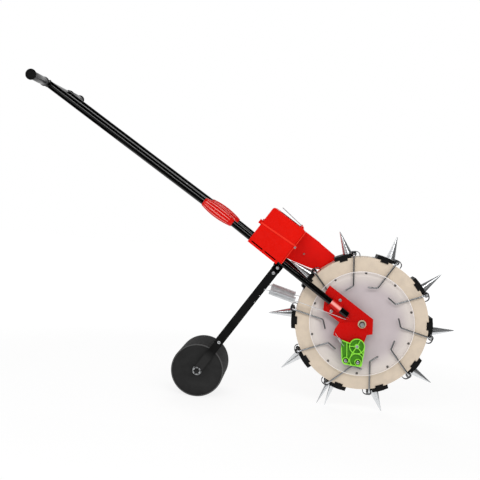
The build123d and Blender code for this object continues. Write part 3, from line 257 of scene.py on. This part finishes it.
# The levers, inside the drum's outline, are drawn wire, darker and duller than the jaws.
reach = from_axle(zinc, axle)
wire_end = drum_r - 0.004
jaw_start = drum_r + 0.006
for socket, wire, jaw in (("Roughness", 0.30, 0.22), ("Metallic", 1.0, 0.82)):
    level = add(zinc.tree, "ShaderNodeMapRange", {"Value": reach, "From Min": wire_end, "From Max": jaw_start,
                                                  "To Min": wire, "To Max": jaw})
    zinc.tree.links.new(level.outputs["Result"], zinc.shader.inputs[socket])
inside = add(zinc.tree, "ShaderNodeMapRange", {"Value": reach, "From Min": jaw_start, "From Max": wire_end})
overlaid(zinc, inside.outputs["Result"], "#A2A4A6")
# Satin zinc on bolts, pins and plates.
satin_zinc = dressed("satin_zinc_steel", "#DCDEE0", "#C8CACC", mottle=9, rough=(0.30, 0.40), gloss=4,
                     relief=5, depth=0.02, Metallic=0.75)
# Spring wire under a film of oil: pale grey, with soft highlights.
spring_wire = dressed("oiled_spring_wire", "#E0E2E4", "#CED0D2", mottle=12, rough=(0.32, 0.42), gloss=5,
                      relief=20, depth=0.01, Metallic=0.5)
# Blued wire of the small torsion springs.
blued_wire = dressed("blued_spring_wire", "#6E6E70", "#5A5A5C", mottle=8, rough=(0.22, 0.32), gloss=5,
                     relief=6, depth=0.01, Metallic=1.0)
# Dull grey screws in the disc.
screw_steel = dressed("dull_screw_steel", "#7A7672", "#6A6662", mottle=6, rough=(0.41, 0.51), gloss=4,
                      relief=4, depth=0.02, Metallic=0.6)
# Black oxide on the nuts.
black_oxide = dressed("black_oxide_steel", "#55534F", "#45433F", mottle=6, rough=(0.32, 0.42), gloss=4,
                      relief=4, depth=0.02, Metallic=1.0)
# The trip plate's bolts: bright heads on blackened washers.
trip_steel = dressed("blackened_washer_steel", "#3C3A37", "#32302D", mottle=6, rough=(0.30, 0.40), gloss=4,
                     relief=4, depth=0.02, Metallic=1.0)
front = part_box("trip_bolts")[0].y
overlaid(trip_steel, across(trip_steel, front + 0.0038, front + 0.0030), "#DCDEE0")
# The roller's axle: pale collars, darkened nuts.
roller_steel = dressed("darkened_nut_steel", "#C4C6C8", "#B2B4B6", mottle=6, rough=(0.32, 0.42), gloss=4,
                       relief=4, depth=0.02, Metallic=1.0)
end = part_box("press_axle")[1].y
overlaid(roller_steel, across(roller_steel, end - 0.0115, end - 0.0095, from_middle=True), "#3A3A3A")
# The hopper's bolts: bright on the lips; on the chute filmed with red dust, and painted paler there to lift
# the shade they lie in.
hopper_steel = dressed("dusty_zinc_steel_painted_light", "#C8CACC", "#B4B6B9", mottle=9, rough=(0.30, 0.40), gloss=4,
                       relief=5, depth=0.02, Metallic=0.7)
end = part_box("hopper_bolts")[1].y
overlaid(hopper_steel, across(hopper_steel, end - 0.014, end - 0.022, from_middle=True), "#E0A098")
# Yellow passivated washers.
yellow_zinc = dressed("yellow_zinc_steel", "#E2DABC", "#D4C9A2", mottle=5, rough=(0.41, 0.51), gloss=4,
                      relief=4, depth=0.02, Metallic=0.35)
# Waxy nylon of the bushes.
nylon = dressed("natural_nylon", "#E4DCC0", "#D8CFB2", mottle=15, rough=(0.38, 0.48), gloss=8,
                relief=4, depth=0.03)
# Black rubber of the grips' ends.
end_rubber = dressed("black_rubber", "#0A0A0A", "#121212", mottle=15, rough=(0.56, 0.66), gloss=6,
                     relief=2, depth=0.05, Specular_IOR_Level=0.1)
# Grey rubber of the grips.
grip_rubber = dressed("grey_rubber", "#2E2E2F", "#373738", mottle=20, rough=(0.26, 0.36), gloss=7,
                      relief=2.5, depth=0.015, Specular_IOR_Level=0.5)
# Lime plastic, with painted light and shade: bright on the proud rim and ribs, darker in the recessed web
# behind them.
lime = dressed("lime_polypropylene", "#428A14", "#377A10", mottle=30, rough=(0.28, 0.38), gloss=12,
               relief=5, depth=0.03, Specular_IOR_Level=0.35)
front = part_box("trip_plate")[0].y
overlaid(lime, across(lime, front + 0.010, front + 0.002), "#92EA42")
# Smoky clear styrene flap, lightly scuffed, darker at its cut edges.
clear = dressed("clear_styrene", "#9A8894", "#8A7884", mottle=20, rough=(0.12, 0.26), gloss=18,
                relief=12, depth=0.03, detail=3.0, Transmission_Weight=0.5, IOR=1.49)
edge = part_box("hopper_lid")[1].y
overlaid(clear, across(clear, edge - 0.0030, edge - 0.0008, from_middle=True), "#4A2C38")

slots = {"red_plastic": hopper_red, "dark_red_plastic": chute_red, "red_paint": enamel,
         "black_paint": tube_black, "cream_plastic": cream, "pale_plastic": pale,
         "lime_plastic": lime, "black_plastic": seat_black, "zinc_steel": satin_zinc,
         "nylon": nylon, "rubber": grip_rubber, "clear_plastic": clear}
finer = {"lock_near": lock_red, "lock_far": lock_red, "axle_nuts": black_oxide, "axle_washers": yellow_zinc,
         "press_spring_near": spring_wire, "press_spring_far": spring_wire, "trip_spring": spring_wire,
         "beak_springs": blued_wire, "fixed_jaws": zinc, "spring_pegs": enamel,
         "press_arm_near": arm_black, "press_arm_far": arm_black, "press_roller": roller_black,
         "press_axle": roller_steel, "trip_bolts": trip_steel, "hopper_bolts": hopper_steel,
         "face_screws": screw_steel,
         "tube_saddle_near": saddle_enamel, "tube_saddle_far": saddle_enamel}
finer.update({"beak_%02d" % k: zinc for k in range(1, 11)})
for name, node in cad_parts.items():
    for place in node.material_slots:
        place.material = finer.get(name, slots[place.material.name.split(".")[0]]).look


# pieces
def piece(bm, name, finishes, smooth=35):
    """Make a shaped bmesh a piece of the object; edges under smooth degrees are shaded as round."""
    mesh = bpy.data.meshes.new(name)
    bm.to_mesh(mesh)
    bm.free()
    for finish in finishes:
        mesh.materials.append(finish.look)
    mesh.shade_smooth()
    mesh.set_sharp_from_angle(angle=radians(smooth))
    made = bpy.data.objects.new(name, mesh)
    bpy.context.collection.objects.link(made)
    return made


def facing(centre, way):
    """Placing of a turned shape: its axis along way, from a centre."""
    return Matrix.Translation(centre) @ Vector(way).to_track_quat("Z", "Y").to_matrix().to_4x4()


def turned(outline, steps, closed=False):
    """Turn an outline of radius and height, in millimetres, about its axis."""
    bm = bmesh.new()
    points = [bm.verts.new((r / 1000, 0, z / 1000)) for r, z in outline]
    edges = [bm.edges.new(pair) for pair in zip(points, points[1:])]
    if closed:
        edges.append(bm.edges.new((points[-1], points[0])))
    bmesh.ops.spin(bm, geom=points + edges, cent=(0, 0, 0), axis=(0, 0, 1), dvec=(0, 0, 0),
                   angle=2 * pi, steps=steps, use_merge=True, use_duplicate=False)
    bmesh.ops.remove_doubles(bm, verts=bm.verts, dist=1e-6)
    bmesh.ops.recalc_face_normals(bm, faces=bm.faces)
    return bm


def ring(r, height, thickness):
    """Outline of a ring of round section, by its radius, its height and its section's radius."""
    return [(r + thickness * cos(k * pi / 4), height + thickness * sin(k * pi / 4)) for k in range(8)]


def join(bm, shape, place):
    """Put a shape in its place, and add it to a piece's bmesh."""
    bmesh.ops.transform(shape, matrix=place, verts=shape.verts)
    mesh = bpy.data.meshes.new("shape")
    shape.to_mesh(mesh)
    shape.free()
    bm.from_mesh(mesh)
    bpy.data.meshes.remove(mesh)


def stretched(name):
    """A smooth-shaded copy of a spring's node, in place of its stiff node."""
    bm = bmesh.new()
    bm.from_mesh(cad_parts[name].data)
    bmesh.ops.remove_doubles(bm, verts=bm.verts, dist=1e-6)
    coil = piece(bm, name + "_coil", [spring_wire], 50)
    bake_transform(coil)
    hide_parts(name)


# Springs, which hook on the frame and are drawn out by the press arms and by the trip plate: smooth-shaded
# copies of their nodes.
for name in ("press_spring_near", "press_spring_far"):
    low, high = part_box(name)
    stretched(name)
low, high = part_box("trip_spring")
stretched("trip_spring")

# Twist locks: a swollen barrel of twelve rounded ribs, which catch a line of light each, with a painted
# highlight along each crest.
lock_to_bar = 0.703
lock_length = 108.0
bore_r, mouth_r, foot_r, head_r = 10.2, 11.6, 12.2, 13.4
swell = 6.5
foot_bevel, head_bevel = 0.7, 0.6
bore_length = 17.8
ribs, rib_steps = 12, 16
rib_turn = 360 / ribs
groove = 0.0018
run_out = 0.012
outside_r = foot_r / 1000 - 1e-5
crest_r = 0.0135
crest_low, crest_high = 0.012, 0.098
crest_turn = 2
outline = [(bore_r, 0.0), (mouth_r, 0.0)]
for t in [k / 16 for k in range(17)]:
    height = min(max(lock_length * t, foot_bevel), lock_length - foot_bevel)
    outline.append((foot_r + (head_r - foot_r) * t + 4 * swell * t * (1 - t), height))
outline += [(head_r - head_bevel, lock_length), (mouth_r, lock_length)]
outline += [(mouth_r, bore_length), (bore_r, bore_length)]
for side, name in ((-1, "lock_near"), (1, "lock_far")):
    bm = turned(outline, ribs * rib_steps, closed=True)
    for v in bm.verts:
        step = round(degrees(atan2(v.co.y, v.co.x)) * rib_steps / rib_turn) % rib_steps
        from_groove = min(step, rib_steps - step) / (rib_steps / 2)
        to_end = min(v.co.z, lock_length / 1000 - v.co.z)
        share = min(1.0, max(0.0, to_end / run_out - 0.4))
        if v.co.xy.length > outside_r:
            sunk = groove * (1 - from_groove) ** 2
            v.co.xy *= 1 - sunk * share / v.co.xy.length
    # Faces along the middle of each crest take the painted highlight.
    for face in bm.faces:
        centre = face.calc_center_median()
        turn = degrees(atan2(centre.y, centre.x)) % rib_turn
        on_crest = centre.xy.length > crest_r and abs(turn - rib_turn / 2) < crest_turn
        face.material_index = 1 if on_crest and crest_low < centre.z < crest_high else 0
    start = bar + Vector((0, side * tube_y, 0)) - up * lock_to_bar
    bmesh.ops.transform(bm, matrix=facing(start, up), verts=bm.verts)
    barrel = piece(bm, name + "_barrel", [lock_red, painted_crest_highlight], 50)
    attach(barrel, name)
    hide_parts(name)

# Hand grips: smooth rubber sleeves with a black collar and a black flared end.
grip_start = 0.126
collar_end, flare_start = 0.0052, 0.1145
outline = [(0.0, 118.0), (9.55, 118.0), (9.55, 0.0), (13.2, 0.0), (14.0, 0.8), (14.0, 4.0), (13.2, 5.0),
           (12.4, 5.6), (12.2, 7.0), (12.2, 12.0), (11.7, 12.8), (11.7, 14.2), (12.2, 15.0), (12.5, 60.0),
           (12.2, 104.0), (11.7, 104.8), (11.7, 106.2), (12.2, 107.0), (12.2, 113.0), (13.0, 115.0),
           (15.2, 116.0), (15.8, 117.2), (15.8, 119.4), (15.0, 120.6), (13.4, 121.0), (10.5, 121.0),
           (9.8, 120.4), (0.0, 120.4)]
for side, name in ((-1, "grip_near"), (1, "grip_far")):
    bm = turned(outline, 48)
    for face in bm.faces:
        face.material_index = 0 if collar_end < face.calc_center_median().z < flare_start else 1
    place = facing(bar + Vector((0, side * grip_start, 0)), (0, side, 0))
    bmesh.ops.transform(bm, matrix=place, verts=bm.verts)
    sleeve = piece(bm, name + "_sleeve", [grip_rubber, end_rubber])
    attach(sleeve, "handle")
    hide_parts(name)

# Weld beads where the upper tubes meet the crossbar, rippled, and hollowed to sit round it.
low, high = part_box("crossbar")
bar_r = (high.z - low.z) / 2
weld = ring(11.2, -bar_r * 1000 - 1.2, 1.7)
ripples, ripple = 18, 0.00022
square = Vector((0, 1, 0)).cross(up)
turn = Matrix((square, Vector((0, 1, 0)), up)).transposed().to_4x4()
bm = bmesh.new()
for side in (-1, 1):
    shape = turned(weld, 72, closed=True)
    for v in shape.verts:
        wave = ripple * sin(ripples * atan2(v.co.y, v.co.x))
        wrap = sqrt(max(0.0, bar_r ** 2 - v.co.x ** 2))
        v.co.xy *= 1 + wave / v.co.xy.length
        v.co.z += bar_r - wrap
    join(bm, shape, Matrix.Translation(bar + Vector((0, side * tube_y, 0))) @ turn)
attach(piece(bm, "crossbar_welds", [tube_black], 60), "handle")

# Snap buttons on the inner sides of the upper tubes.
button_to_bar = 0.4975
button = [(0.0, -1.5), (3.6, -1.5), (3.6, 0.4), (3.3, 1.2), (2.4, 2.0), (1.2, 2.4), (0.0, 2.5)]
inner_y = 2 * tube_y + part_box("upper_tube_near")[0].y
bm = bmesh.new()
for side in (-1, 1):
    place = bar + Vector((0, side * inner_y, 0)) - up * button_to_bar
    join(bm, turned(button, 24), facing(place, (0, -side, 0)))
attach(piece(bm, "snap_buttons", [satin_zinc]), "handle")

# Serrated washers round the nuts of the roller's axle.
press_axle = middle("press_axle")
end_to_seat = 0.0098
nut_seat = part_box("press_axle")[1].y - end_to_seat
hole_r, washer_r = 5.0, 11.4
washer = [(hole_r, -0.2), (washer_r, -0.2), (washer_r, 1.4), (hole_r, 1.4)]
washer_steps, tooth_steps = 48, 8
notch_share = 0.72
bm = bmesh.new()
for side in (-1, 1):
    shape = turned(washer, washer_steps, closed=True)
    for v in shape.verts:
        step = round(degrees(atan2(v.co.y, v.co.x)) * washer_steps / 360) % tooth_steps
        if v.co.xy.length > 0.006 and step in (0, 1):
            v.co.xy *= notch_share
    join(bm, shape, facing((press_axle.x, side * nut_seat, press_axle.z), (0, side, 0)))
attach(piece(bm, "serrated_washers", [satin_zinc]), "press_arm")

# Plugs in the lower ends of the tubes.
tube_end = 0.0525
plug = [(0.0, -10.0), (8.2, -10.0), (8.2, 0.0), (9.7, 0.0), (9.7, 1.2), (8.9, 2.2), (6.0, 2.9), (0.0, 3.2)]
bm = bmesh.new()
for side in (-1, 1):
    end = axle - low_down * tube_end - low_square * low_drop + Vector((0, side * tube_y, 0))
    join(bm, turned(plug, 32), facing(end, low_down))
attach(piece(bm, "tube_plugs", [seat_black]), "frame")

# Bead in the joint between the rim and the disc.
low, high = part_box("drum_face")
bm = turned(ring((high.x - low.x) / 2 * 1000, 0.0, 1.1), 144, closed=True)
bmesh.ops.transform(bm, matrix=facing((axle.x, low.y + 0.0004, axle.z), (0, -1, 0)), verts=bm.verts)
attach(piece(bm, "disc_edge_bead", [bead_pale], 80), "drum")

# camera
camera = bpy.data.objects.new("camera", bpy.data.cameras.new("camera"))
camera.data.lens = 58.05
camera.location = axle + Vector((-0.2123, -2.400, 0.3076))
camera.rotation_euler = (radians(87.763), radians(-4.985), radians(4.447))
bpy.context.collection.objects.link(camera)
scene = bpy.context.scene
scene.camera = camera
scene.view_settings.view_transform = "Standard"

# studio
# The world is white where it is seen, mirrored or looked through, and dimmer where it lights.
world = bpy.data.worlds.new("studio")
world.use_nodes = True
scene.world = world
tree = world.node_tree
path = add(tree, "ShaderNodeLightPath").outputs
seen = add(tree, "ShaderNodeMath", {0: path["Is Camera Ray"], 1: path["Is Glossy Ray"]}, operation="MAXIMUM")
seen = add(tree, "ShaderNodeMath", {0: seen.outputs[0], 1: path["Is Transmission Ray"]}, operation="MAXIMUM")
level = add(tree, "ShaderNodeMapRange", {"Value": seen.outputs[0], "To Min": 0.4, "To Max": 1.0})
tree.links.new(level.outputs["Result"], tree.nodes["Background"].inputs["Strength"])
tree.nodes["Background"].inputs["Color"].default_value = (1, 1, 1, 1)

# A long strip in front that the tubes and flutes mirror as a line, and soft lamps that nothing mirrors.
lit_middle = axle + Vector((-0.3, 0, 0.1))
for name, place, size, roll, power, mirrored in (("strip", (-0.30, -2.5, 1.88), (2.6, 0.5), 10, 30, True),
                                                 ("key", (1.4, -2.3, 1.4), (1.4, 1.4), 0, 16, False),
                                                 ("fill", (-1.3, -2.4, 0.9), (1.8, 1.8), 0, 7, False),
                                                 ("back", (-0.8, 2.6, 2.0), (1.8, 1.8), 0, 26, False)):
    lamp = bpy.data.objects.new(name, bpy.data.lights.new(name, "AREA"))
    lamp.data.shape = "RECTANGLE"
    lamp.data.size, lamp.data.size_y = size
    lamp.data.energy = power
    lamp.visible_glossy = mirrored
    lamp.location = axle + Vector(place)
    aim = (lit_middle - lamp.location).to_track_quat("-Z", "Y").to_matrix()
    lamp.rotation_euler = (aim @ Matrix.Rotation(radians(-roll), 3, "Z")).to_euler()
    bpy.context.collection.objects.link(lamp)


def board(name, place, size, towards, look):
    """A flat board of the studio, turned to face a point."""
    bpy.ops.mesh.primitive_plane_add(size=1)
    made = bpy.context.object
    made.name = name
    made.location = place
    made.scale = (size[0], size[1], 1)
    made.rotation_euler = (Vector(towards) - Vector(place)).to_track_quat("Z", "Y").to_euler()
    made.data.materials.append(look)
    made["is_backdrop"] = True
    return made


# White paper sweep: lit near the object, so that it takes the shadow, and plain white further off.
# The board is drawn a unit wide, so distances on it are shares of its width.
paper, tree, shader, where = material("white_paper", Roughness=0.9)
shader.inputs["Base Color"].default_value = colour("#F4F4F4")
glow = add(tree, "ShaderNodeEmission", {"Color": (1, 1, 1, 1), "Strength": 1.06})
reach = add(tree, "ShaderNodeVectorMath", {0: where}, operation="LENGTH")
fade = add(tree, "ShaderNodeMapRange",
           {"Value": reach.outputs["Value"], "From Min": 0.05, "From Max": 0.13,
            "To Min": 0.80, "To Max": 1.0}, interpolation_type="SMOOTHSTEP")
surface = add(tree, "ShaderNodeMixShader",
              {0: fade.outputs["Result"], 1: shader.outputs[0], 2: glow.outputs[0]})
tree.links.new(surface.outputs[0], tree.nodes["Material Output"].inputs["Surface"])
board("floor", (0, 0, 0), (16, 16), (0, 0, 1), paper)

# Black flags: only reflections see them, so that gloss and metal get dark sides. Three lie on the floor.
cloth, tree, shader, where = material("black_cloth", Roughness=1.0, Specular_IOR_Level=0.0)
shader.inputs["Base Color"].default_value = colour("#050505")
on_floor = ("flag_low", "flag_drum", "flag_left")
for name, place, size in (("flag_front", (2.0, -3.0, 1.7), (2.6, 4.0)),
                          ("flag_right", (3.2, -0.6, 1.7), (4.4, 4.0)),
                          ("flag_low", (0.6, -1.9, 0.003), (3.6, 2.9)),
                          ("flag_drum", (1.5, 0.2, 0.003), (1.3, 1.3)),
                          ("flag_camera", (0.0, -3.4, 0.72), (3.4, 1.6)),
                          ("flag_top", (0.0, -0.3, 2.6), (5.0, 4.0)),
                          ("flag_left", (-2.3, -1.2, 0.003), (2.2, 4.4))):
    towards = (place[0], place[1], 9) if name in on_floor else (0, 0, 0.4)
    flag = board(name, place, size, towards, cloth)
    flag.visible_camera = False
    flag.visible_diffuse = False
    flag.visible_transmission = False
    flag.visible_shadow = False

# size
low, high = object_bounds()
